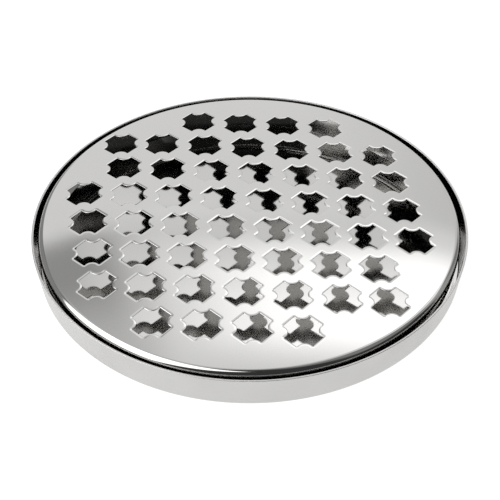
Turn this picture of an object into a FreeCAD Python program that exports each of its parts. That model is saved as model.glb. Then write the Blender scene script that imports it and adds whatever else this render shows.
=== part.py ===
"""Round drip tray: a shallow draughted pan and the loose perforated grate that stands in it.

Millimetres, +Z up.  The origin is the centre of the pan's underside, on the surface the tray
stands on.  Both pieces are pressed from polished stainless sheet.
"""
import FreeCAD, Part
import math
import os
import Sketcher

doc = FreeCAD.newDocument("drip_tray")

# ---------------------------------------------------------------- driving dimensions
SIZES = [
    # the pan
    ("rim_radius", 70.0, "outer radius at the top of the wall"),
    ("pan_height", 11.15, "height of the wall over the table"),
    ("foot_radius", 68.65, "outer radius at the table, before the bend"),
    ("pan_sheet", 0.7, "sheet thickness of the pan"),
    ("pan_bend", 0.9, "outer radius of the bend between floor and wall"),
    ("lip_round", 0.2, "radius of the two edges of the lip"),
    # the grate's pressed shape
    ("crown_height", 14.05, "top of the grate over the table"),
    ("crown_radius", 1500.0, "radius of the nearly flat middle"),
    ("crown_reach", 30.0, "distance from the axis where the shoulder starts"),
    ("shoulder_radius", 620.0, "radius of the falling shoulder"),
    ("edge_roll", 2.1, "outer radius of the rolled edge"),
    ("grate_radius", 67.85, "outer radius at the rolled edge"),
    ("skirt_foot", 67.1, "outer radius of the skirt at its cut edge"),
    ("grate_sheet", 0.4, "sheet thickness of the grate"),
    ("rest_gap", 0.05, "air between the skirt's edge and the pan's floor"),
    ("seat_x", -0.2, "how far to the right of the pan's axis the loose grate sits"),
    ("seat_y", 0.1, "how far to the back of the pan's axis the loose grate sits"),
    # the punched pattern, in the grate's own axes
    ("pattern_turn", -42.4, "turn of the hole rows from the X axis, degrees"),
    ("column_pitch", 11.86, "lattice step along the rows"),
    ("row_pitch", 9.0, "lattice step across the rows"),
    ("shift_along", -0.85, "offset of the pattern along the rows"),
    ("shift_across", -0.59, "offset of the pattern across the rows"),
    ("outer_pair", 116.8, "distance between the two single holes at the ends of the middle row"),
    ("hole_span", 11.5, "tip to tip across one four-armed hole"),
    ("arm_width", 5.0, "width of each arm's flat end"),
    ("bite_radius", 2.7, "radius of the four hollow corners of a hole"),
    ("punch_height", 20.0, "height over the table from which the holes are cut"),
    ("punch_depth", 12.0, "how far down each hole's cut reaches, through the crown only"),
]

# Holes stand on every second point of the lattice, inside a circle, with one more at each
# end of the middle row.  They make five centred grids: (columns, rows, distance from the
# first column to the last, distance from the first row to the last).
GRIDS = [
    (4, 5, "6 * sizes.column_pitch", "8 * sizes.row_pitch"),
    (5, 4, "8 * sizes.column_pitch", "6 * sizes.row_pitch"),
    (3, 2, "4 * sizes.column_pitch", "10 * sizes.row_pitch"),
    (2, 2, "2 * sizes.column_pitch", "12 * sizes.row_pitch"),
    (2, 1, "sizes.outer_pair", "0 * sizes.row_pitch"),
]

sheet = doc.addObject("Spreadsheet::Sheet", "sizes")
sheet.Label = "sizes"
for line, (name, value, meaning) in enumerate(SIZES, start=1):
    sheet.set(f"A{line}", name)
    sheet.set(f"B{line}", str(value))
    sheet.set(f"C{line}", meaning)
    sheet.setAlias(f"B{line}", name)
doc.recompute()


def size(name):
    """The value of one cell of the sheet."""
    return float(sheet.get(name))


def vector(x, y):
    return FreeCAD.Vector(x, y, 0)


# a sketch's own origin and axes, as its constraints number them
ORIGIN, H_AXIS, V_AXIS = -1, -1, -2


# ---------------------------------------------------------------- helpers
def new_body(label):
    body = doc.addObject("PartDesign::Body", label)
    body.Label = label
    return body


def new_sketch(body, name, plane_role):
    """A sketch on one of the body's own origin planes."""
    sketch = body.newObject("Sketcher::SketchObject", name)
    plane = next(item for item in body.Origin.OriginFeatures if item.Role == plane_role)
    sketch.AttachmentSupport = [(plane, "")]
    sketch.MapMode = "FlatFace"
    return sketch


def name_dimension(sketch, constraint, name, expression):
    """Adds a dimension, names it and binds it to the sheet."""
    index = sketch.addConstraint(constraint)
    sketch.renameConstraint(index, name)
    sketch.setExpression(f"Constraints.{name}", expression)


def join_ends(sketch, count):
    """Makes each outline element start where the one before it ends."""
    for here in range(count):
        following = (here + 1) % count
        sketch.addConstraint(Sketcher.Constraint("Coincident", here, 2, following, 1))


def revolve(body, sketch, name):
    """Turns a half outline round the sketch's vertical axis."""
    solid = body.newObject("PartDesign::Revolution", name)
    solid.Profile = sketch
    solid.ReferenceAxis = (sketch, ["V_Axis"])
    solid.Angle = 360.0
    doc.recompute()
    return solid


def flat_face_at(feature, height):
    """The name of the level plane face of a feature at one height."""
    for number, face in enumerate(feature.Shape.Faces, start=1):
        level = abs(face.BoundBox.ZMax - height) + abs(face.BoundBox.ZMin - height) < 1e-4
        if level and isinstance(face.Surface, Part.Plane):
            return f"Face{number}"
    raise RuntimeError(f"{feature.Label} has no level face at {height}")


def round_edges_at(feature, height):
    """The names of the level circular edges of a feature at one height."""
    names = []
    for number, edge in enumerate(feature.Shape.Edges, start=1):
        level = abs(edge.BoundBox.ZMax - height) + abs(edge.BoundBox.ZMin - height) < 1e-4
        if level and isinstance(edge.Curve, Part.Circle):
            names.append(f"Edge{number}")
    return names


def fillet(body, base, edges, name, size_name):
    feature = body.newObject("PartDesign::Fillet", name)
    feature.Base = (base, edges)
    feature.setExpression("Radius", f"sizes.{size_name}")
    doc.recompute()
    return feature


def hollow(body, base, open_face, name, size_name):
    """Leaves only a sheet inside a plug's surface, open at one face."""
    feature = body.newObject("PartDesign::Thickness", name)
    feature.Base = (base, [open_face])
    feature.setExpression("Value", f"sizes.{size_name}")
    feature.Mode = "Skin"
    feature.Join = "Intersection"
    feature.Reversed = True
    doc.recompute()
    return feature


# ---------------------------------------------------------------- the pan
def make_pan():
    """A draughted cup: plug, bent lower edge, hollowed, both lip edges rounded."""
    body = new_body("drip_pan")
    sketch = new_sketch(body, "pan_outline", "XZ_Plane")
    corners = [
        vector(0, 0),
        vector(size("foot_radius"), 0),
        vector(size("rim_radius"), size("pan_height")),
        vector(0, size("pan_height")),
    ]
    for here, corner in enumerate(corners):
        sketch.addGeometry(Part.LineSegment(corner, corners[(here + 1) % 4]), False)
    join_ends(sketch, 4)
    sketch.addConstraint(Sketcher.Constraint("Coincident", 0, 1, ORIGIN, 1))
    sketch.addConstraint(Sketcher.Constraint("Horizontal", 0))
    sketch.addConstraint(Sketcher.Constraint("Horizontal", 2))
    sketch.addConstraint(Sketcher.Constraint("Vertical", 3))
    name_dimension(sketch, Sketcher.Constraint("DistanceX", ORIGIN, 1, 0, 2, size("foot_radius")),
                   "foot", "sizes.foot_radius")
    name_dimension(sketch, Sketcher.Constraint("DistanceX", ORIGIN, 1, 1, 2, size("rim_radius")),
                   "rim", "sizes.rim_radius")
    name_dimension(sketch, Sketcher.Constraint("DistanceY", ORIGIN, 1, 1, 2, size("pan_height")),
                   "height", "sizes.pan_height")
    plug = revolve(body, sketch, "pan_plug")
    bend = fillet(body, plug, round_edges_at(plug, 0.0), "floor_bend", "pan_bend")
    shell = hollow(body, bend, flat_face_at(bend, size("pan_height")), "pan_shell", "pan_sheet")
    lip = round_edges_at(shell, size("pan_height"))
    fillet(body, shell, lip, "lip_edges", "lip_round")
    return body


# ---------------------------------------------------------------- the grate
def arc_from_top(centre, radius, inner_angle, outer_angle):
    """An arc between two angles measured from straight up, towards the rim."""
    circle = Part.Circle(centre, FreeCAD.Vector(0, 0, 1), radius)
    return Part.ArcOfCircle(circle, math.pi / 2 - outer_angle, math.pi / 2 - inner_angle)


def draw_grate_section(sketch):
    """The sheet's section: crown, shoulder, rolled edge and a skirt that leans inwards, each
    tangent to the next."""
    top, thickness = size("crown_height"), size("grate_sheet")
    foot = vector(size("skirt_foot"), size("pan_sheet") + size("rest_gap"))
    crown, shoulder, roll = size("crown_radius"), size("shoulder_radius"), size("edge_roll")

    # the arcs' centres and meeting angles, so that the sketch starts in its solved shape
    inner_angle = math.asin(size("crown_reach") / crown)
    toward_inner = vector(math.sin(inner_angle), math.cos(inner_angle))
    crown_centre = vector(0, top - crown)
    shoulder_centre = crown_centre + toward_inner * (crown - shoulder)
    roll_centre_x = size("grate_radius") - roll
    outer_angle = math.asin((roll_centre_x - shoulder_centre.x) / (shoulder - roll))
    toward_outer = vector(math.sin(outer_angle), math.cos(outer_angle))
    roll_centre = shoulder_centre + toward_outer * (shoulder - roll)

    # the skirt's line runs from its foot to the point where it touches the roll
    to_foot = foot - roll_centre
    lean = -math.atan2(to_foot.y, to_foot.x) - math.acos(roll / to_foot.Length)
    outward = vector(math.cos(lean), -math.sin(lean))
    skirt_top = roll_centre + outward * roll
    inner_skirt_top = roll_centre + outward * (roll - thickness)
    inner_foot = foot - vector(thickness / math.cos(lean), 0)
    below = vector(0, -thickness)
    for shape in [
        Part.LineSegment(inner_foot, foot),
        Part.LineSegment(foot, skirt_top),
        arc_from_top(roll_centre, roll, outer_angle, math.pi / 2 + lean),
        arc_from_top(shoulder_centre, shoulder, inner_angle, outer_angle),
        arc_from_top(crown_centre, crown, 0, inner_angle),
        Part.LineSegment(vector(0, top), vector(0, top) + below),
        arc_from_top(crown_centre, crown - thickness, 0, inner_angle),
        arc_from_top(shoulder_centre, shoulder - thickness, inner_angle, outer_angle),
        arc_from_top(roll_centre, roll - thickness, outer_angle, math.pi / 2 + lean),
        Part.LineSegment(inner_skirt_top, inner_foot),
    ]:
        sketch.addGeometry(shape, False)
    (cut_edge, skirt_line, roll_arc, shoulder_arc, crown_arc,
     axis_line, crown_inside, shoulder_inside, roll_inside, skirt_inside) = range(10)
    start, end, centre = 1, 2, 3

    for kind, *ends in [
        ("Coincident", cut_edge, end, skirt_line, start),
        ("Tangent", skirt_line, end, roll_arc, start),
        ("Tangent", roll_arc, end, shoulder_arc, start),
        ("Tangent", shoulder_arc, end, crown_arc, start),
        ("Coincident", crown_arc, end, axis_line, start),
        ("Coincident", axis_line, end, crown_inside, end),
        ("Tangent", crown_inside, start, shoulder_inside, end),
        ("Tangent", shoulder_inside, start, roll_inside, end),
        ("Tangent", roll_inside, start, skirt_inside, start),
        ("Coincident", skirt_inside, end, cut_edge, start),
        ("Coincident", crown_arc, centre, crown_inside, centre),
        ("Coincident", shoulder_arc, centre, shoulder_inside, centre),
        ("Coincident", roll_arc, centre, roll_inside, centre),
        ("Horizontal", cut_edge),
        ("Parallel", skirt_line, skirt_inside),
        ("PointOnObject", axis_line, start, V_AXIS),
        ("PointOnObject", axis_line, end, V_AXIS),
        ("PointOnObject", crown_arc, centre, V_AXIS),
    ]:
        sketch.addConstraint(Sketcher.Constraint(kind, *ends))
    for name, kind, places, value, expression in [
        ("foot", "DistanceY", (ORIGIN, 1, cut_edge, end), foot.y,
         "sizes.pan_sheet + sizes.rest_gap"),
        ("skirt", "DistanceX", (ORIGIN, 1, cut_edge, end), foot.x, "sizes.skirt_foot"),
        ("width", "DistanceX", (ORIGIN, 1, roll_arc, centre), roll_centre_x,
         "sizes.grate_radius - sizes.edge_roll"),
        ("top", "DistanceY", (ORIGIN, 1, axis_line, start), top, "sizes.crown_height"),
        ("reach", "DistanceX", (ORIGIN, 1, crown_arc, start), size("crown_reach"),
         "sizes.crown_reach"),
        ("crown", "Radius", (crown_arc,), crown, "sizes.crown_radius"),
        ("shoulder", "Radius", (shoulder_arc,), shoulder, "sizes.shoulder_radius"),
        ("roll", "Radius", (roll_arc,), roll, "sizes.edge_roll"),
        ("thickness", "DistanceY", (axis_line, end, axis_line, start), thickness,
         "sizes.grate_sheet"),
    ]:
        name_dimension(sketch, Sketcher.Constraint(kind, *places, value), name, expression)


def draw_hole(sketch):
    """A four-armed hole round the sketch's origin: flat arm ends and hollow corners."""
    half_span, half_arm = size("hole_span") / 2, size("arm_width") / 2
    bite = size("bite_radius")
    # a hollow corner's circle passes through two arm corners, with its centre on the diagonal
    half_chord = (half_span - half_arm) / math.sqrt(2)
    depth = bite - math.sqrt(bite ** 2 - half_chord ** 2)
    nearest = (half_span + half_arm) / 2 - depth / math.sqrt(2)
    up = FreeCAD.Vector(0, 0, 1)
    for quarter in range(4):
        turn = FreeCAD.Rotation(up, 90 * quarter)
        arm_start = turn.multVec(vector(half_span, -half_arm))
        arm_end = turn.multVec(vector(half_span, half_arm))
        corner_middle = turn.multVec(vector(nearest, nearest))
        corner_end = turn.multVec(vector(half_arm, half_span))
        sketch.addGeometry(Part.LineSegment(arm_start, arm_end), False)
        sketch.addGeometry(Part.Arc(arm_end, corner_middle, corner_end), False)

    # lines are the even elements; a three-point arc is stored anticlockwise, so it starts at
    # the corner's far end
    for quarter in range(4):
        line, corner, next_line = 2 * quarter, 2 * quarter + 1, (2 * quarter + 2) % 8
        sketch.addConstraint(Sketcher.Constraint("Coincident", line, 2, corner, 2))
        sketch.addConstraint(Sketcher.Constraint("Coincident", corner, 1, next_line, 1))
    for line, axis in [(0, H_AXIS), (2, V_AXIS), (4, H_AXIS), (6, V_AXIS)]:
        sketch.addConstraint(Sketcher.Constraint("Symmetric", line, 1, line, 2, axis))
    for quarter in range(1, 4):
        sketch.addConstraint(Sketcher.Constraint("Equal", 0, 2 * quarter))
        sketch.addConstraint(Sketcher.Constraint("Equal", 1, 2 * quarter + 1))
    name_dimension(sketch, Sketcher.Constraint("DistanceY", 0, 1, 0, 2, 2 * half_arm),
                   "arm", "sizes.arm_width")
    name_dimension(sketch, Sketcher.Constraint("Radius", 1, bite), "bite", "sizes.bite_radius")
    for name, line, kind, places in [
        ("right", 0, "DistanceX", (ORIGIN, 1, 0, 1)),
        ("left", 4, "DistanceX", (4, 1, ORIGIN, 1)),
        ("back", 2, "DistanceY", (ORIGIN, 1, 2, 1)),
        ("front", 6, "DistanceY", (6, 1, ORIGIN, 1)),
    ]:
        name_dimension(sketch, Sketcher.Constraint(kind, *places, half_span), name,
                       "sizes.hole_span / 2")


def punch_grid(body, number, columns, rows, width, depth):
    """One centred grid of holes: its corner hole as a pocket, then a two-way pattern."""
    sketch = new_sketch(body, f"hole_{number}", "XY_Plane")
    sketch.setExpression("AttachmentOffset.Base.x", f"sizes.shift_along - {width} / 2")
    sketch.setExpression("AttachmentOffset.Base.y", f"sizes.shift_across - {depth} / 2")
    sketch.setExpression("AttachmentOffset.Base.z", "sizes.punch_height")
    draw_hole(sketch)
    pocket = body.newObject("PartDesign::Pocket", f"punch_{number}")
    pocket.Profile = sketch
    pocket.setExpression("Length", "sizes.punch_depth")
    doc.recompute()
    pattern = body.newObject("PartDesign::LinearPattern", f"grid_{number}")
    pattern.Originals = [pocket]
    pattern.Direction = (sketch, ["H_Axis"])
    pattern.Mode = "Extent"
    pattern.setExpression("Length", width)
    pattern.Occurrences = columns
    if rows > 1:
        pattern.Direction2 = (sketch, ["V_Axis"])
        pattern.Mode2 = "Extent"
        pattern.setExpression("Length2", depth)
        pattern.Occurrences2 = rows
    body.Tip = pattern
    doc.recompute()


def make_grate():
    """The pressed shell, then the pattern of holes punched through its crown."""
    body = new_body("grate")
    section = new_sketch(body, "grate_section", "XZ_Plane")
    draw_grate_section(section)
    revolve(body, section, "grate_shell")
    for number, grid in enumerate(GRIDS, start=1):
        punch_grid(body, number, *grid)
    body.setExpression("Placement.Rotation.Angle", "sizes.pattern_turn * 1 deg")
    body.setExpression("Placement.Base.x", "sizes.seat_x")
    body.setExpression("Placement.Base.y", "sizes.seat_y")
    return body


# ---------------------------------------------------------------- build, check and write
def check_document(bodies):
    """Stops if a feature failed, a sketch can still move, or a body isn't one valid solid."""
    for item in doc.Objects:
        if "Invalid" in item.State or "Error" in item.State:
            raise RuntimeError(f"{item.Label} failed: {item.State}")
        if item.isDerivedFrom("Sketcher::SketchObject"):
            if item.solve() != 0 or not item.FullyConstrained:
                raise RuntimeError(f"{item.Label} isn't fully constrained")
    for body in bodies:
        shape = body.Shape
        if shape.isNull() or not shape.isValid() or len(shape.Solids) != 1:
            raise RuntimeError(f"{body.Label} isn't one valid solid")


def check_holes(grate):
    """Stops if the volume cut out of the shell isn't that of all the holes."""
    wanted = sum(columns * rows for columns, rows, _, _ in GRIDS)
    shell = doc.getObject("grate_shell").Shape.Volume
    face = Part.Face(doc.getObject("hole_1").Shape)
    cut = (shell - grate.Shape.Volume) / (face.Area * size("grate_sheet"))
    print(f"{wanted} holes wanted, {cut:.2f} hole volumes cut")
    if abs(cut - wanted) > 0.5:
        raise RuntimeError("holes are missing or doubled")


pan = make_pan()
grate = make_grate()
doc.recompute()
check_document([pan, grate])
check_holes(grate)
overlap = pan.Shape.common(grate.Shape).Volume
print(f"overlap {overlap:.4f} mm3, least gap {pan.Shape.distToShape(grate.Shape)[0]:.3f} mm")

os.makedirs("parts", exist_ok=True)
for body in (pan, grate):
    body.Shape.exportStep(f"parts/{body.Label}.step")
    box = body.Shape.optimalBoundingBox()
    print(f"{body.Label}: {body.Shape.Volume:.0f} mm3, {box.XLength:.2f} x {box.YLength:.2f} x "
          f"{box.ZLength:.2f} mm, z {box.ZMin:.2f} to {box.ZMax:.2f}")
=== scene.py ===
import math

import bpy
import numpy as np
from mathutils import Matrix, Vector
from mathutils.geometry import delaunay_2d_cdt


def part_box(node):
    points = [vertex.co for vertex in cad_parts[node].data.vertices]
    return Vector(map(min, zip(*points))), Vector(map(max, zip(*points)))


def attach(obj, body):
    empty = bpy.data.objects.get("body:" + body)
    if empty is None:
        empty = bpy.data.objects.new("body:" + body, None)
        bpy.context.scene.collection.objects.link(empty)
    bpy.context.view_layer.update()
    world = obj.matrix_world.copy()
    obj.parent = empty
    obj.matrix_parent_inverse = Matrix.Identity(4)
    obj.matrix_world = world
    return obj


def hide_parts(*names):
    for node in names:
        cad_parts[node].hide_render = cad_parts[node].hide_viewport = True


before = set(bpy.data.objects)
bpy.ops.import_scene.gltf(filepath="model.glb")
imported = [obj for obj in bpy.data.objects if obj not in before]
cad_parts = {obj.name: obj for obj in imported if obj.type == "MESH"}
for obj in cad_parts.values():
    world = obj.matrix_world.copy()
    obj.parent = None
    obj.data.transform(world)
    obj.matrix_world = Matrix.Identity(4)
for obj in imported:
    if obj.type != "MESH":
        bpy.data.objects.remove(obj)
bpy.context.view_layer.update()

# Round drip tray: a shallow pan and the loose perforated grate that stands in it.  Both
# pieces are remade here as fine meshes on the CAD sizes, with rounded edges, true surface
# normals and polished-steel materials.  Metres; the origin is the pan's centre on the floor.

MM = 0.001

# ---------------------------------------------------------------- sizes
SEGMENTS = 384                   # steps round every turned surface
HUB = 0.5 * MM                   # radius of the single face that closes a level disc

PAN_HEIGHT = 11.15 * MM
PAN_RADIUS = 70.0 * MM           # where the wall's line meets the lip's level
PAN_FOOT_RADIUS = 68.65 * MM     # where the wall's line meets the floor it stands on
PAN_BEND = 0.9 * MM              # outer radius between floor and wall
LIP_ROUND = 0.2 * MM
PAN_SHEET = 0.7 * MM

GRATE_CENTRE = Vector((-0.2, 0.1, 0)) * MM    # the loose piece stands off the pan's axis
GRATE_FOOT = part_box("grate")[0].z
GRATE_TOP = 14.05 * MM
SKIRT_RADIUS = 67.85 * MM
SKIRT_FOOT_RADIUS = 67.1 * MM
GRATE_SHEET = 0.4 * MM
CROWN_RADIUS = 1.5               # the nearly flat middle
CROWN_REACH = 30.0 * MM          # distance from the axis where the shoulder starts
SHOULDER_RADIUS = 0.62           # from there to the rolled edge
EDGE_ROLL = 2.1 * MM             # outer radius of the rolled edge
CUT_ROUND = 0.1 * MM             # rounding of the skirt's cut edge

PATTERN_TURN = math.radians(-42.4)
COLUMN_PITCH = 11.86 * MM
ROW_PITCH = 9.0 * MM
PATTERN_SHIFT = (-0.85 * MM, -0.59 * MM)
PATTERN_REACH = 59.0 * MM        # holes whose centre lies within this circle are punched
OUTER_PAIR = 116.8 * MM          # and two more at the row's ends, this far apart
HOLE_SPAN = 11.5 * MM            # tip to tip
ARM_WIDTH = 5.0 * MM
BITE_RADIUS = 2.7 * MM           # the four hollow corners
ARM_CORNER = 0.22 * MM           # rounding where an arm's end meets a hollow corner
DIE_ROLL = 0.9 * MM              # width of the soft upper edge that the punch leaves
DIE_DROP = 0.15 * MM             # and how far it falls
RIM_MARGIN = 0.12 * MM           # least distance from a soft edge to the rolled edge
BREAK_OUT = 0.15 * MM            # how much wider a hole is below than above
BURR_ROUND = 0.05 * MM           # the broken lower edge
GRID_STEP = 3.6 * MM             # mesh spacing between the holes

# ---------------------------------------------------------------- materials
STEEL_TONE = (0.585, 0.58, 0.57)


def new_material(name):
    material = bpy.data.materials.new(name)
    material.use_nodes = True
    return material, material.node_tree


def add_node(tree, kind, **settings):
    node = tree.nodes.new(kind)
    for name, value in settings.items():
        setattr(node, name, value)
    return node


def stretched_noise(tree, stretch, scale, detail=2.0):
    """Noise in the object's own metres, drawn out along the axes with a small stretch."""
    place = add_node(tree, "ShaderNodeTexCoord")
    mapping = add_node(tree, "ShaderNodeMapping")
    mapping.inputs["Scale"].default_value = stretch
    noise = add_node(tree, "ShaderNodeTexNoise")
    noise.inputs["Scale"].default_value = scale
    noise.inputs["Detail"].default_value = detail
    tree.links.new(place.outputs["Object"], mapping.inputs["Vector"])
    tree.links.new(mapping.outputs["Vector"], noise.inputs["Vector"])
    return noise.outputs["Fac"]


def map_range(tree, value, from_low, from_high, to_low, to_high, smooth=False):
    node = add_node(tree, "ShaderNodeMapRange",
                    interpolation_type="SMOOTHSTEP" if smooth else "LINEAR")
    for socket, number in (("From Min", from_low), ("From Max", from_high),
                           ("To Min", to_low), ("To Max", to_high)):
        node.inputs[socket].default_value = number
    tree.links.new(value, node.inputs["Value"])
    return node.outputs["Result"]


def bump(tree, height, depth, normal=None):
    node = add_node(tree, "ShaderNodeBump")
    node.inputs["Strength"].default_value = 1.0
    node.inputs["Distance"].default_value = depth
    tree.links.new(height, node.inputs["Height"])
    if normal is not None:
        tree.links.new(normal, node.inputs["Normal"])
    return node.outputs["Normal"]


def steel(name, tone, roughness, spread, waviness, grain, grain_stretch):
    """Steel with an uneven polish (roughness +- spread), a slow wave of the sheet and a grain."""
    material, tree = new_material(name)
    shader = tree.nodes["Principled BSDF"]
    shader.inputs["Metallic"].default_value = 1.0
    smudges = stretched_noise(tree, (1, 1, 1), 60.0, 4.0)
    tree.links.new(map_range(tree, smudges, 0.3, 0.7, roughness - spread, roughness + spread),
                   shader.inputs["Roughness"])
    tint = add_node(tree, "ShaderNodeMix", data_type="RGBA")
    tint.inputs[6].default_value = (*tone, 1)
    tint.inputs[7].default_value = (*(0.97 * channel for channel in tone), 1)
    tree.links.new(smudges, tint.inputs[0])
    tree.links.new(tint.outputs[2], shader.inputs["Base Color"])
    slow = bump(tree, stretched_noise(tree, (1, 1, 1), 45.0, 1.0), waviness)
    fine = bump(tree, stretched_noise(tree, grain_stretch, 9000.0, 2.0), grain, slow)
    tree.links.new(fine, shader.inputs["Normal"])
    return material


polished = steel("polished_steel", STEEL_TONE, 0.07, 0.02, 0.02 * MM, 0.0002 * MM, (1, 1, 1))
mirror = steel("mirror_floor_steel", tuple(0.95 * channel for channel in STEEL_TONE),
               0.06, 0.02, 0.01 * MM, 0.0001 * MM, (1, 1, 1))
inside = steel("inside_steel", STEEL_TONE, 0.1, 0.03, 0.03 * MM, 0.0002 * MM, (1, 1, 1))
satin = steel("satin_wall_steel", STEEL_TONE, 0.42, 0.05, 0.02 * MM, 0.003 * MM, (1, 1, 0.03))
sheared = steel("sheared_steel", STEEL_TONE, 0.45, 0.08, 0.0, 0.003 * MM, (1, 1, 0.1))


# ---------------------------------------------------------------- turned outlines
def beside(centre, radius, angle):
    """The point at one angle from the outward direction, in degrees, on a circle."""
    angle = math.radians(angle)
    return (centre[0] + radius * math.cos(angle), centre[1] + radius * math.sin(angle))


def line_points(start, end, steps, normal):
    """Points and normals along a straight stretch, its end left out."""
    (r0, z0), (r1, z1) = start, end
    shares = [step / steps for step in range(steps)]
    return [((r0 + (r1 - r0) * s, z0 + (z1 - z0) * s), normal) for s in shares]


def arc_points(centre, radius, first, last, steps, hollow=False):
    """The same along an arc between two angles from the outward direction, in degrees."""
    points = []
    for step in range(steps):
        angle = math.radians(first + (last - first) * step / steps)
        out, up = math.cos(angle), math.sin(angle)
        side = -1 if hollow else 1
        points.append(((centre[0] + radius * out, centre[1] + radius * up),
                       (side * out, side * up)))
    return points


def turn(outline):
    """Vertices and normals of an outline turned round the vertical axis, ring after ring."""
    angles = np.arange(SEGMENTS) * 2 * math.pi / SEGMENTS
    across, along = np.cos(angles), np.sin(angles)
    points, normals = [], []
    for (r, z), (normal_r, normal_z) in outline:
        points.append(np.stack([r * across, r * along, np.full(SEGMENTS, z)], -1))
        normals.append(np.stack([normal_r * across, normal_r * along,
                                 np.full(SEGMENTS, normal_z)], -1))
    return np.concatenate(points), np.concatenate(normals)


def strips(rings, count):
    """Quads between successive rings of count vertices."""
    here = np.arange(count)
    following = (here + 1) % count
    quads = []
    for ring in range(rings - 1):
        lower, upper = ring * count, (ring + 1) * count
        quads.append(np.stack([lower + here, lower + following,
                               upper + following, upper + here], -1))
    return np.concatenate(quads)


def make_piece(name, points, normals, faces, materials, finish_of_face):
    """A mesh object with exact vertex normals and one of the materials on each face."""
    mesh = bpy.data.meshes.new(name)
    mesh.from_pydata(points.tolist(), [], [list(face) for face in faces])
    for material in materials:
        mesh.materials.append(material)
    mesh.polygons.foreach_set("material_index", finish_of_face)
    mesh.polygons.foreach_set("use_smooth", np.ones(len(faces), bool))
    mesh.update()
    lengths = np.linalg.norm(normals, axis=1, keepdims=True)
    mesh.normals_split_custom_set_from_vertices((normals / lengths).tolist())
    piece = bpy.data.objects.new(name, mesh)
    bpy.context.scene.collection.objects.link(piece)
    return piece


# ---------------------------------------------------------------- the pan
def make_pan():
    """The pan's whole section turned round its axis, each stretch with its own finish."""
    polished_face, satin_face, inside_face, mirror_face = range(4)
    lean = math.degrees(math.atan2(PAN_RADIUS - PAN_FOOT_RADIUS, PAN_HEIGHT))
    lean_sin, lean_cos = math.sin(math.radians(lean)), math.cos(math.radians(lean))

    def wall(z, inward):
        """Radius of the wall's outer face, or of a face further in, at one height."""
        return PAN_FOOT_RADIUS + z * lean_sin / lean_cos - inward / lean_cos

    bend = (wall(PAN_BEND, PAN_BEND), PAN_BEND)
    lip_z = PAN_HEIGHT - LIP_ROUND
    outer_lip = (wall(lip_z, LIP_ROUND), lip_z)
    inner_lip = (wall(lip_z, PAN_SHEET - LIP_ROUND), lip_z)

    # underside, bend, outer wall, lip, inner wall, inner bend, floor
    outline = line_points((HUB, 0), beside(bend, PAN_BEND, -90), 12, (0, -1))
    outline += arc_points(bend, PAN_BEND, -90, -lean, 10)
    wall_start = len(outline)
    outline += line_points(beside(bend, PAN_BEND, -lean), beside(outer_lip, LIP_ROUND, -lean), 8,
                           (lean_cos, -lean_sin))
    outline += arc_points(outer_lip, LIP_ROUND, -lean, 90, 8)
    outline += line_points(beside(outer_lip, LIP_ROUND, 90), beside(inner_lip, LIP_ROUND, 90), 2,
                           (0, 1))
    outline += arc_points(inner_lip, LIP_ROUND, 90, 180 - lean, 8)
    inner_start = len(outline)
    inner_bend = PAN_BEND - PAN_SHEET
    inner_end = inner_start + 8
    outline += line_points(beside(inner_lip, LIP_ROUND, 180 - lean),
                           beside(bend, inner_bend, -lean), 8, (-lean_cos, lean_sin))
    outline += arc_points(bend, inner_bend, -lean, -90, 8, hollow=True)
    floor_start = len(outline)
    outline += line_points(beside(bend, inner_bend, -90), (HUB, PAN_SHEET), 30, (0, 1))
    outline.append(((HUB, PAN_SHEET), (0, 1)))

    points, normals = turn(outline)
    rings = len(outline)
    quads = strips(rings, SEGMENTS).tolist()
    finish = np.full((rings - 1) * SEGMENTS, polished_face)
    finish[:wall_start * SEGMENTS] = inside_face
    finish[wall_start * SEGMENTS:inner_start * SEGMENTS] = satin_face
    finish[inner_start * SEGMENTS:inner_end * SEGMENTS] = inside_face
    finish[floor_start * SEGMENTS:] = mirror_face
    # the two level discs close at the axis
    last = (rings - 1) * SEGMENTS
    caps = [list(range(SEGMENTS))[::-1], list(range(last, last + SEGMENTS))]
    finish = np.concatenate([finish, [inside_face, mirror_face]])
    return make_piece("pan_sheet", points, normals, quads + caps,
                      [polished, satin, inside, mirror], finish)


# ---------------------------------------------------------------- the grate
CROWN_ANGLE = math.asin(CROWN_REACH / CROWN_RADIUS)
SHOULDER_CENTRE_R = math.sin(CROWN_ANGLE) * (CROWN_RADIUS - SHOULDER_RADIUS)
SHOULDER_CENTRE_Z = (GRATE_TOP - CROWN_RADIUS
                     + math.cos(CROWN_ANGLE) * (CROWN_RADIUS - SHOULDER_RADIUS))
ROLL_ANGLE = math.asin((SKIRT_RADIUS - EDGE_ROLL - SHOULDER_CENTRE_R)
                       / (SHOULDER_RADIUS - EDGE_ROLL))


def dome(radius, inward):
    """Height and outward slope of the dome's top face, or of a face further in."""
    on_crown = radius <= CROWN_REACH
    crown, shoulder = CROWN_RADIUS - inward, SHOULDER_RADIUS - inward
    crown_sine = np.minimum(radius / crown, 1)
    shoulder_sine = np.clip((radius - SHOULDER_CENTRE_R) / shoulder, -1, 1)
    height = np.where(on_crown,
                      GRATE_TOP - CROWN_RADIUS + crown * np.sqrt(1 - crown_sine ** 2),
                      SHOULDER_CENTRE_Z + shoulder * np.sqrt(1 - shoulder_sine ** 2))
    return height, np.where(on_crown, crown_sine, shoulder_sine)


def dome_normals(places, slope_sine):
    """Upward normals of the dome at places in the plane, from its outward slope there."""
    radius = np.maximum(np.hypot(places[:, 0], places[:, 1]), 1e-9)
    return np.stack([slope_sine * places[:, 0] / radius, slope_sine * places[:, 1] / radius,
                     np.sqrt(1 - slope_sine ** 2)], -1)


HALF_SPAN = HOLE_SPAN / 2
HALF_CHORD = (HALF_SPAN - ARM_WIDTH / 2) / math.sqrt(2)
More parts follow.
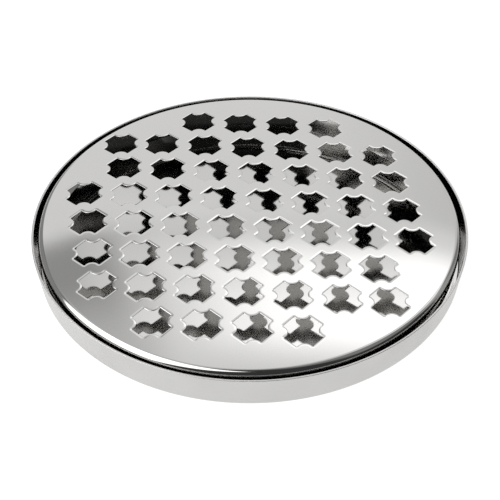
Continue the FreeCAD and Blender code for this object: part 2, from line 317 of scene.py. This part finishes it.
# distance of a hollow corner's centre from the hole's centre, along either axis
BITE_PLACE = ((HALF_SPAN + ARM_WIDTH / 2) / 2
              + math.sqrt(BITE_RADIUS ** 2 - HALF_CHORD ** 2) / math.sqrt(2))


def hole_outline():
    """Points round one hole and the directions from them into the sheet."""
    bite = np.array([BITE_PLACE, BITE_PLACE])
    corner_x = HALF_SPAN - ARM_CORNER
    corner_y = BITE_PLACE - math.sqrt((BITE_RADIUS + ARM_CORNER) ** 2
                                      - (corner_x - BITE_PLACE) ** 2)
    corner = np.array([corner_x, corner_y])
    meet = math.atan2(*(bite - corner)[::-1])
    points, outward = [], []

    def add(centre, radius, angle, side):
        direction = np.array([math.cos(angle), math.sin(angle)])
        points.append(centre + radius * direction)
        outward.append(side * direction)

    corner_steps, bite_steps, end_steps = 4, 12, 4
    # a quarter: an arm's end, a rounded corner, the hollow, and the next rounded corner
    for step in range(end_steps):
        points.append(np.array([HALF_SPAN, corner_y * (2 * step / end_steps - 1)]))
        outward.append(np.array([1.0, 0.0]))
    for step in range(corner_steps):
        add(corner, ARM_CORNER, meet * step / corner_steps, 1)
    first, last = math.pi + meet, 3 * math.pi / 2 - meet
    for step in range(bite_steps):
        add(bite, BITE_RADIUS, first + (last - first) * step / bite_steps, -1)
    for step in range(corner_steps):
        add(corner[::-1], ARM_CORNER, math.pi / 2 - meet + meet * step / corner_steps, 1)
    turns = [np.array(Matrix.Rotation(math.pi / 2 * quarter, 2)).T for quarter in range(4)]
    return (np.concatenate([np.array(points) @ matrix for matrix in turns]),
            np.concatenate([np.array(outward) @ matrix for matrix in turns]))


def hole_centres():
    """Every second point of the lattice inside the pattern's circle, and the outer pair."""
    steps = range(-8, 9)
    centres = [(column * COLUMN_PITCH, row * ROW_PITCH)
               for column in steps for row in steps
               if (column + row) % 2
               and math.hypot(column * COLUMN_PITCH, row * ROW_PITCH) < PATTERN_REACH]
    return np.array(centres + [(-OUTER_PAIR / 2, 0), (OUTER_PAIR / 2, 0)])


def within(places, loop):
    """Which places lie inside a closed loop."""
    near = np.hypot(*(places - loop.mean(0)).T) < np.hypot(*(loop - loop.mean(0)).T).max()
    x, y = places[near, :1], places[near, 1:]
    following = np.roll(loop, -1, 0)
    (x0, y0), (x1, y1) = loop.T, following.T
    rise = np.where(y1 == y0, 1.0, y1 - y0)
    crossed = ((y0 > y) != (y1 > y)) & (x < x0 + (x1 - x0) * (y - y0) / rise)
    result = np.zeros(len(places), bool)
    result[near] = crossed.sum(1) % 2 == 1
    return result


def make_grate():
    """The punched dome, top and underside, the holes' walls, then the rolled edge and skirt."""
    polished_face, inside_face, sheared_face = range(3)
    outline, outward = hole_outline()
    ring = len(outline)
    centres = hole_centres()
    to_piece = np.array(Matrix.Rotation(PATTERN_TURN, 2))
    shift = np.array(PATTERN_SHIFT)

    # the sheet between the holes: one flat triangulation serves the top and the underside
    roll_top_r = SHOULDER_CENTRE_R + SHOULDER_RADIUS * math.sin(ROLL_ANGLE)
    angles = np.arange(SEGMENTS) * 2 * math.pi / SEGMENTS
    rim = roll_top_r * np.stack([np.cos(angles), np.sin(angles)], -1)
    room = [roll_top_r - RIM_MARGIN - np.hypot(*(centre + shift + outline).T).max()
            for centre in centres]
    soft = np.minimum(DIE_ROLL, room)

    def grown(number, margin):
        """One hole's outline, moved into the sheet by some margin."""
        return (centres[number] + shift + outline + margin * outward) @ to_piece.T

    numbers = range(len(centres))
    edge_of_hole = [grown(number, soft[number]) for number in numbers]
    row_step = GRID_STEP * math.sqrt(3) / 2
    reach = int(roll_top_r / row_step) + 1
    grid = np.array([((column + 0.5 * (row % 2)) * GRID_STEP, row * row_step)
                     for row in range(-reach, reach + 1) for column in range(-reach, reach + 1)])
    grid = grid[np.hypot(grid[:, 0], grid[:, 1]) < roll_top_r - 0.4 * GRID_STEP]
    for number in numbers:
        grid = grid[~within(grid, grown(number, soft[number] + 0.25 * GRID_STEP))]

    flat = np.concatenate([rim, *edge_of_hole, grid])
    loops = [np.arange(SEGMENTS)]
    loops += [SEGMENTS + ring * number + np.arange(ring) for number in numbers]
    edges = [(int(a), int(b)) for loop in loops for a, b in zip(loop, np.roll(loop, -1))]
    found = delaunay_2d_cdt([Vector(place) for place in flat / MM], edges, [], 0, 1e-6)
    made_points, _, made_faces, origins = found[:4]
    if len(made_points) != len(flat):
        raise RuntimeError("the triangulation added or merged points")
    source = np.array([origin[0] for origin in origins])
    triangles = source[np.array(made_faces)]
    middle = flat[triangles].mean(1)
    keep = np.hypot(*middle.T) < roll_top_r * math.cos(math.pi / SEGMENTS)
    for loop in edge_of_hole:
        keep &= ~within(middle, loop)
    triangles = triangles[keep]

    points, normals, faces, finish = [], [], [], []
    count = 0

    def add(block, block_normals):
        nonlocal count
        first = count
        points.append(block)
        normals.append(block_normals)
        count += len(block)
        return first

    # top face
    height, slope = dome(np.hypot(*flat.T), 0.0)
    top_first = add(np.column_stack([flat, height]), dome_normals(flat, slope))
    faces += (triangles + top_first).tolist()
    finish += [polished_face] * len(triangles)

    # underside: the same triangles, with the holes' edges at the wall and the rim further in
    under = flat.copy()
    under[:SEGMENTS] *= (SHOULDER_CENTRE_R + (SHOULDER_RADIUS - GRATE_SHEET) * math.sin(ROLL_ANGLE)
                         ) / roll_top_r
    for number in numbers:
        first = SEGMENTS + ring * number
        under[first:first + ring] = grown(number, BREAK_OUT + BURR_ROUND)
    height, slope = dome(np.hypot(*under.T), GRATE_SHEET)
    under_first = add(np.column_stack([under, height]), -dome_normals(under, slope))
    faces += (triangles[:, ::-1] + under_first).tolist()
    finish += [inside_face] * len(triangles)

    # the holes' edges: soft upper edge, cut wall that widens downwards, broken lower edge
    roll_steps, burr_steps = 8, 3
    break_angle = math.atan2(BREAK_OUT, GRATE_SHEET - DIE_DROP)
    for number in numbers:
        across = -(outward @ to_piece.T)
        sides = np.column_stack([across, np.zeros(ring)])
        rings = []
        for step in range(1, roll_steps + 1):
            angle = math.pi / 2 * step / roll_steps
            place = grown(number, soft[number] * (1 - math.sin(angle)))
            height, slope = dome(np.hypot(*place.T), 0.0)
            tilt = math.atan2(DIE_DROP * math.sin(angle), soft[number] * math.cos(angle))
            rings.append((np.column_stack([place, height - DIE_DROP * (1 - math.cos(angle))]),
                          math.cos(tilt) * dome_normals(place, slope) + math.sin(tilt) * sides))
        for step in range(burr_steps):
            angle = break_angle + (math.pi / 2 - break_angle) * step / burr_steps
            place = grown(number, BREAK_OUT + BURR_ROUND * (1 - math.cos(angle)))
            height, slope = dome(np.hypot(*place.T), GRATE_SHEET)
            down = -dome_normals(place, slope)
            rings.append((np.column_stack([place, height + BURR_ROUND * (1 - math.sin(angle))]),
                          math.cos(angle) * sides + math.sin(angle) * down))
        firsts = [top_first + SEGMENTS + ring * number]
        firsts += [add(*block) for block in rings]
        firsts.append(under_first + SEGMENTS + ring * number)
        here = np.arange(ring)
        following = (here + 1) % ring
        for level, (upper, lower) in enumerate(zip(firsts, firsts[1:])):
            quads = np.stack([upper + here, upper + following,
                              lower + following, lower + here], -1)
            faces += quads.tolist()
            finish += [polished_face if level < roll_steps else sheared_face] * ring

    # rolled edge, skirt, cut edge, and back up inside to the underside; the skirt leans in
    roll_centre = (SHOULDER_CENTRE_R + (SHOULDER_RADIUS - EDGE_ROLL) * math.sin(ROLL_ANGLE),
                   SHOULDER_CENTRE_Z + (SHOULDER_RADIUS - EDGE_ROLL) * math.cos(ROLL_ANGLE))
    foot_from_centre = (SKIRT_FOOT_RADIUS - roll_centre[0], GRATE_FOOT - roll_centre[1])
    lean = -math.degrees(math.atan2(foot_from_centre[1], foot_from_centre[0])
                         + math.acos(EDGE_ROLL / math.hypot(*foot_from_centre)))
    lean_sin, lean_cos = math.sin(math.radians(lean)), math.cos(math.radians(lean))

    def skirt(z, inward):
        """Radius of the skirt's outer face, or of a face further in, at one height."""
        return SKIRT_FOOT_RADIUS + (z - GRATE_FOOT) * lean_sin / lean_cos - inward / lean_cos

    start = 90 - math.degrees(ROLL_ANGLE)
    corner_z = GRATE_FOOT + CUT_ROUND
    outer_corner = (skirt(corner_z, CUT_ROUND), corner_z)
    inner_corner = (skirt(corner_z, GRATE_SHEET - CUT_ROUND), corner_z)
    inner_roll = EDGE_ROLL - GRATE_SHEET
    outline_steps = arc_points(roll_centre, EDGE_ROLL, start, -lean, 18)[1:]
    outline_steps += line_points(beside(roll_centre, EDGE_ROLL, -lean),
                                 beside(outer_corner, CUT_ROUND, -lean), 6, (lean_cos, -lean_sin))
    cut_edge = len(outline_steps)
    outline_steps += arc_points(outer_corner, CUT_ROUND, -lean, -90, 4)
    outline_steps += arc_points(inner_corner, CUT_ROUND, -90, -180 - lean, 4)
    inner_face = len(outline_steps)
    outline_steps += line_points(beside(inner_corner, CUT_ROUND, 180 - lean),
                                 beside(roll_centre, inner_roll, -lean), 6, (-lean_cos, lean_sin))
    outline_steps += arc_points(roll_centre, inner_roll, -lean, start, 12, hollow=True)
    edge_points, edge_normals = turn(outline_steps)
    edge_first = add(edge_points, edge_normals)
    levels = [top_first] + [edge_first + SEGMENTS * level for level in range(len(outline_steps))]
    levels.append(under_first)
    here = np.arange(SEGMENTS)
    following = (here + 1) % SEGMENTS
    for level, (upper, lower_ring) in enumerate(zip(levels, levels[1:])):
        quads = np.stack([upper + here, lower_ring + here,
                          lower_ring + following, upper + following], -1)
        faces += quads.tolist()
        face = (polished_face if level <= cut_edge else
                sheared_face if level <= inner_face else inside_face)
        finish += [face] * SEGMENTS

    piece_points = np.concatenate(points)
    piece_points[:, 0] += GRATE_CENTRE.x
    piece_points[:, 1] += GRATE_CENTRE.y
    return make_piece("grate_sheet", piece_points, np.concatenate(normals), faces,
                      [polished, inside, sheared], np.array(finish))


pan = make_pan()
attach(pan, "pan_body")
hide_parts("drip_pan")

grate = make_grate()
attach(grate, "grate_body")
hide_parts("grate")


# ---------------------------------------------------------------- floor, light and camera
FLOOR_HALF = 3.0
FLOOR_PAINTED_GLOW = (1.1, 0.93)         # painted light: the floor glows brighter at the left and dimmer at the right
GLOW_REACH = 0.12                # distance from the middle to either of them
FLOOR_TONE = 0.1


def make_floor():
    mesh = bpy.data.meshes.new("floor")
    corners = [(-FLOOR_HALF, -FLOOR_HALF, 0), (FLOOR_HALF, -FLOOR_HALF, 0),
               (FLOOR_HALF, FLOOR_HALF, 0), (-FLOOR_HALF, FLOOR_HALF, 0)]
    mesh.from_pydata(corners, [], [(0, 1, 2, 3)])
    material, tree = new_material("pale_floor")
    shader = tree.nodes["Principled BSDF"]
    shader.inputs["Base Color"].default_value = (FLOOR_TONE, FLOOR_TONE, FLOOR_TONE, 1)
    shader.inputs["Roughness"].default_value = 1.0
    shader.inputs["Specular IOR Level"].default_value = 0.0
    shader.inputs["Emission Color"].default_value = (1, 1, 1, 1)
    axes = add_node(tree, "ShaderNodeSeparateXYZ")
    tree.links.new(add_node(tree, "ShaderNodeTexCoord").outputs["Object"], axes.inputs[0])
    # painted light: the floor's glow fades from brighter at the left to dimmer at the right
    tree.links.new(map_range(tree, axes.outputs["X"], -GLOW_REACH, GLOW_REACH, *FLOOR_PAINTED_GLOW),
                   shader.inputs["Emission Strength"])
    mesh.materials.append(material)
    floor = bpy.data.objects.new("floor", mesh)
    bpy.context.scene.collection.objects.link(floor)


# Studio light as brightness over the sky, in degrees: azimuth from +Y towards +X, elevation
# upwards.  Each patch: azimuth range, elevation range, the softness of its four edges in the
# same order, brightness, which is below 0 for a shade over the others.  They were chosen so
# that the steel mirrors much what it does in the photograph.
DARK_ROOM = 0.05
PATCHES = [
    ("sweep", (-23, 44), (-10, 40.2), (7, 14), (4, 2.5), 0.98),
    ("sweep_left", (-100, -23), (-10, 39), (20, 7), (4, 6), 0.28),
    ("sweep_right", (44, 80), (-10, 40), (14, 12), (4, 6), 0.42),
    ("sweep_shade", (12, 60), (-10, 41), (20, 10), (4, 2.5), -0.2),
    ("over_sweep", (-12, 60), (40.2, 74), (9, 12), (3, 34), 0.95),
    ("beside_softbox", (-60, -12), (40.2, 82), (20, 9), (3, 14), 0.38),
    ("beside_softbox_top", (-60, -12), (48, 82), (20, 9), (8, 14), 0.3),
    ("main_softbox", (-3, 26), (42.8, 53.5), (20, 10), (4, 6), 0.9),
    ("right_fill", (50, 125), (35, 82), (30, 20), (14, 12), 0.25),
    ("right_softbox", (14, 60), (39.5, 48), (10, 20), (4, 8), 0.3),
    ("front_streak", (-230, -130), (-2, 9), (10, 10), (6, 6), 0.25),
]
# Flat panels: azimuth and elevation of the middle, then the spans to the right and upwards
# as tangents, their softness and the brightness.
PANELS = [
    ("left_softbox", -115, 45, (-0.42, 0.7), (-0.65, 0.72), 0.12, 2.2),
]


def math_value(tree, operation, first, second=None):
    node = add_node(tree, "ShaderNodeMath", operation=operation)
    for socket, value in zip(node.inputs, (first, second)):
        if isinstance(value, bpy.types.NodeSocket):
            tree.links.new(value, socket)
        elif value is not None:
            socket.default_value = value
    return node.outputs[0]


def window(tree, value, low, high, softness):
    """1 between two limits and 0 outside, with soft edges."""
    first, last = softness[0] / 2, softness[1] / 2
    rise = map_range(tree, value, low - first, low + first, 0, 1, smooth=True)
    fall = map_range(tree, value, high - last, high + last, 1, 0, smooth=True)
    return math_value(tree, "MULTIPLY", rise, fall)


def toward(azimuth, elevation):
    azimuth, elevation = math.radians(azimuth), math.radians(elevation)
    return (math.sin(azimuth) * math.cos(elevation), math.cos(azimuth) * math.cos(elevation),
            math.sin(elevation))


def along(tree, direction, axis):
    """How far a direction reaches along an axis."""
    node = add_node(tree, "ShaderNodeVectorMath", operation="DOT_PRODUCT")
    tree.links.new(direction, node.inputs[0])
    node.inputs[1].default_value = axis
    return node.outputs["Value"]


def make_sky():
    world = bpy.data.worlds.new("studio")
    world.use_nodes = True
    bpy.context.scene.world = world
    tree = world.node_tree
    background = tree.nodes["Background"]
    direction = add_node(tree, "ShaderNodeTexCoord").outputs["Generated"]
    axes = add_node(tree, "ShaderNodeSeparateXYZ")
    tree.links.new(direction, axes.inputs[0])
    to_degrees = 180 / math.pi
    azimuth = math_value(tree, "MULTIPLY", math_value(
        tree, "ARCTAN2", axes.outputs["X"], axes.outputs["Y"]), to_degrees)
    front_azimuth = math_value(tree, "SUBTRACT", math_value(tree, "MULTIPLY", math_value(
        tree, "ARCTAN2", math_value(tree, "MULTIPLY", axes.outputs["X"], -1.0),
        math_value(tree, "MULTIPLY", axes.outputs["Y"], -1.0)), to_degrees), 180.0)
    elevation = math_value(tree, "MULTIPLY", math_value(
        tree, "ARCSINE", axes.outputs["Z"]), to_degrees)
    total = DARK_ROOM
    for _, sideways, upwards, side_softness, rise_softness, brightness in PATCHES:
        around = front_azimuth if sideways[0] < -180 else azimuth
        patch = math_value(tree, "MULTIPLY",
                           window(tree, around, *sideways, side_softness),
                           window(tree, elevation, *upwards, rise_softness))
        total = math_value(tree, "ADD", total, math_value(tree, "MULTIPLY", patch, brightness))
    for _, middle, raised, rightwards, upwards, softness, brightness in PANELS:
        depth = math_value(tree, "MAXIMUM", along(tree, direction, toward(middle, raised)), 1e-4)
        across = math_value(tree, "DIVIDE", along(tree, direction, toward(middle + 90, 0)), depth)
        rise = math_value(tree, "DIVIDE",
                          along(tree, direction, toward(middle, raised + 90)), depth)
        panel = math_value(tree, "MULTIPLY",
                           window(tree, across, *rightwards, (softness, softness)),
                           window(tree, rise, *upwards, (softness, softness)))
        total = math_value(tree, "ADD", total, math_value(tree, "MULTIPLY", panel, brightness))
    tree.links.new(total, background.inputs["Color"])


# Fitted so that the rim, the foot and the holes fall where they do in the photograph.
CAMERA_ELEVATION = 41.67         # degrees above level, looking along +Y
CAMERA_DISTANCE = 419.3 * MM     # from the aim
CAMERA_LENS = 91.86              # millimetres, on a sensor 36 mm wide
CAMERA_ROLL = -0.12              # degrees
AIM = Vector((0.09, -0.732, -0.822)) * MM


def make_camera():
    camera = bpy.data.objects.new("camera", bpy.data.cameras.new("camera"))
    camera.data.lens = CAMERA_LENS
    camera.data.sensor_width = 36
    camera.data.clip_start = 0.01
    raised = math.radians(CAMERA_ELEVATION)
    camera.location = AIM + CAMERA_DISTANCE * Vector((0, -math.cos(raised), math.sin(raised)))
    tilt = Matrix.Rotation(math.pi / 2 - raised, 4, "X")
    roll = Matrix.Rotation(math.radians(CAMERA_ROLL), 4, "Z")
    camera.rotation_euler = (tilt @ roll).to_euler()
    bpy.context.scene.collection.objects.link(camera)
    bpy.context.scene.camera = camera


make_floor()
make_sky()
make_camera()
bpy.context.scene.view_settings.view_transform = "Standard"
